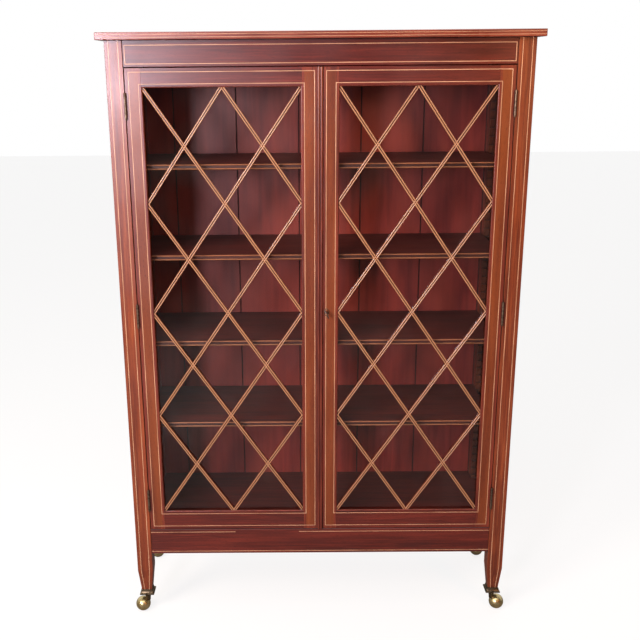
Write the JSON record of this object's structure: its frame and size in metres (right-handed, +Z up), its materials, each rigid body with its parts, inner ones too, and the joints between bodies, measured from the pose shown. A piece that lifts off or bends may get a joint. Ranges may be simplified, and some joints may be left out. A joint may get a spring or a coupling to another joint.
{
  "type": "glazed display bookcase",
  "caption": "Tall glazed display bookcase with lozenge lattice doors, loose shelves on ratchet racks, tapered legs and brass ball castors.",
  "frame": {"origin": "on the floor, in the middle of the overall width and the overall depth with the key in its lock", "axes": "+Z up, the doors face -Y, +X to the right of someone facing the doors"},
  "size_m": [1.108, 0.3679, 1.65],
  "materials": {
    "mahogany": "french polished mahogany with inlaid pale stringing",
    "shelf_wood": "stained and polished shelf boards",
    "rack_wood": "stained beech racks and bearers, waxed",
    "back_wood": "red stained matchboard",
    "bar_wood": "reeded satinwood-coloured glazing bars, polished",
    "glass": "old window glass",
    "hinge_brass": "dull aged brass",
    "castor_brass": "polished brass",
    "dark_bronze": "dark bronzed socket and plate",
    "aged_steel": "aged steel key"
  },
  "bodies": {
    "case": {"top_board": "mahogany", "left_front_leg": "mahogany", "left_back_leg": "mahogany", "right_front_leg": "mahogany", "right_back_leg": "mahogany", "left_side_panel": "mahogany", "right_side_panel": "mahogany", "frieze_rail": "mahogany", "apron_rail": "mahogany", "bottom_board": "shelf_wood", "back_boards": "back_wood", "rack_left_front": "rack_wood", "rack_left_back": "rack_wood", "rack_right_front": "rack_wood", "rack_right_back": "rack_wood", "bearer_left_1": "rack_wood", "bearer_left_2": "rack_wood", "bearer_left_3": "rack_wood", "bearer_left_4": "rack_wood", "bearer_right_1": "rack_wood", "bearer_right_2": "rack_wood", "bearer_right_3": "rack_wood", "bearer_right_4": "rack_wood", "left_front_castor_socket": "dark_bronze", "left_back_castor_socket": "dark_bronze", "right_front_castor_socket": "dark_bronze", "right_back_castor_socket": "dark_bronze"},
    "left_door": {"left_door_hinge_stile": "mahogany", "left_door_meeting_stile": "mahogany", "left_door_top_rail": "mahogany", "left_door_bottom_rail": "mahogany", "left_door_lattice": "bar_wood", "left_door_glass": "glass", "left_hinge_1": "hinge_brass", "left_hinge_2": "hinge_brass", "left_hinge_3": "hinge_brass"},
    "right_door": {"right_door_hinge_stile": "mahogany", "right_door_meeting_stile": "mahogany", "right_door_top_rail": "mahogany", "right_door_bottom_rail": "mahogany", "right_door_lattice": "bar_wood", "right_door_glass": "glass", "right_hinge_1": "hinge_brass", "right_hinge_2": "hinge_brass", "right_hinge_3": "hinge_brass"},
    "shelf_1": {"shelf_1": "shelf_wood"},
    "shelf_2": {"shelf_2": "shelf_wood"},
    "shelf_3": {"shelf_3": "shelf_wood"},
    "shelf_4": {"shelf_4": "shelf_wood"},
    "key": {"key": "aged_steel"},
    "lock_bolt": {"lock_bolt": "hinge_brass"},
    "left_door_bolt": {"left_door_bolt": "hinge_brass"},
    "left_front_castor": {"left_front_castor_hood": "castor_brass"},
    "left_front_wheel": {"left_front_castor_wheel": "castor_brass"},
    "left_back_castor": {"left_back_castor_hood": "castor_brass"},
    "left_back_wheel": {"left_back_castor_wheel": "castor_brass"},
    "right_front_castor": {"right_front_castor_hood": "castor_brass"},
    "right_front_wheel": {"right_front_castor_wheel": "castor_brass"},
    "right_back_castor": {"right_back_castor_hood": "castor_brass"},
    "right_back_wheel": {"right_back_castor_wheel": "castor_brass"}
  },
  "joints": [
    {"name": "left_door_hinge", "type": "hinge", "parent": "case", "child": "left_door", "pos_m": [-0.49, -0.1592, 0.92335], "axis": [0, 0, -1], "range_deg": [0, 110]},
    {"name": "right_door_hinge", "type": "hinge", "parent": "case", "child": "right_door", "pos_m": [0.49, -0.1592, 0.92335], "axis": [0, 0, 1], "range_deg": [0, 110]},
    {"name": "shelf_1_lift", "type": "slide", "parent": "case", "child": "shelf_1", "axis": [0, 0, 1], "range_m": [0, 0.1446]},
    {"name": "shelf_2_lift", "type": "slide", "parent": "case", "child": "shelf_2", "axis": [0, 0, 1], "range_m": [0, 0.1446]},
    {"name": "shelf_3_lift", "type": "slide", "parent": "case", "child": "shelf_3", "axis": [0, 0, 1], "range_m": [0, 0.1446]},
    {"name": "shelf_4_lift", "type": "slide", "parent": "case", "child": "shelf_4", "axis": [0, 0, 1], "range_m": [0, 0.1446]},
    {"name": "key_turn", "type": "hinge", "parent": "right_door", "child": "key", "pos_m": [0.0175, -0.155, 0.93], "axis": [0, 1, 0], "range_deg": [0, 180]},
    {"name": "lock_bolt_slide", "type": "slide", "parent": "right_door", "child": "lock_bolt", "axis": [-1, 0, 0], "range_m": [0, 0.006]},
    {"name": "left_door_bolt_slide", "type": "slide", "parent": "left_door", "child": "left_door_bolt", "axis": [0, 0, 1], "range_m": [0, 0.012]},
    {"name": "left_front_castor_swivel", "type": "hinge", "parent": "case", "child": "left_front_castor", "pos_m": [-0.513, -0.134, 0.062], "axis": [0, 0, 1], "continuous": true},
    {"name": "left_front_wheel_roll", "type": "hinge", "parent": "left_front_castor", "child": "left_front_wheel", "pos_m": [-0.529, -0.134, 0.0215], "axis": [0, -0.866, -0.5], "continuous": true},
    {"name": "left_back_castor_swivel", "type": "hinge", "parent": "case", "child": "left_back_castor", "pos_m": [-0.513, 0.162, 0.062], "axis": [0, 0, 1], "continuous": true},
    {"name": "left_back_wheel_roll", "type": "hinge", "parent": "left_back_castor", "child": "left_back_wheel", "pos_m": [-0.529, 0.162, 0.0215], "axis": [0, -0.866, -0.5], "continuous": true},
    {"name": "right_front_castor_swivel", "type": "hinge", "parent": "case", "child": "right_front_castor", "pos_m": [0.513, -0.134, 0.062], "axis": [0, 0, 1], "continuous": true},
    {"name": "right_front_wheel_roll", "type": "hinge", "parent": "right_front_castor", "child": "right_front_wheel", "pos_m": [0.529, -0.134, 0.0215], "axis": [0, -0.866, -0.5], "continuous": true},
    {"name": "right_back_castor_swivel", "type": "hinge", "parent": "case", "child": "right_back_castor", "pos_m": [0.513, 0.162, 0.062], "axis": [0, 0, 1], "continuous": true},
    {"name": "right_back_wheel_roll", "type": "hinge", "parent": "right_back_castor", "child": "right_back_wheel", "pos_m": [0.529, 0.162, 0.0215], "axis": [0, -0.866, -0.5], "continuous": true}
  ],
  "couplings": [
    {"joint": "lock_bolt_slide", "follows": "key_turn", "m_per_rad": 0.0019098}
  ]
}
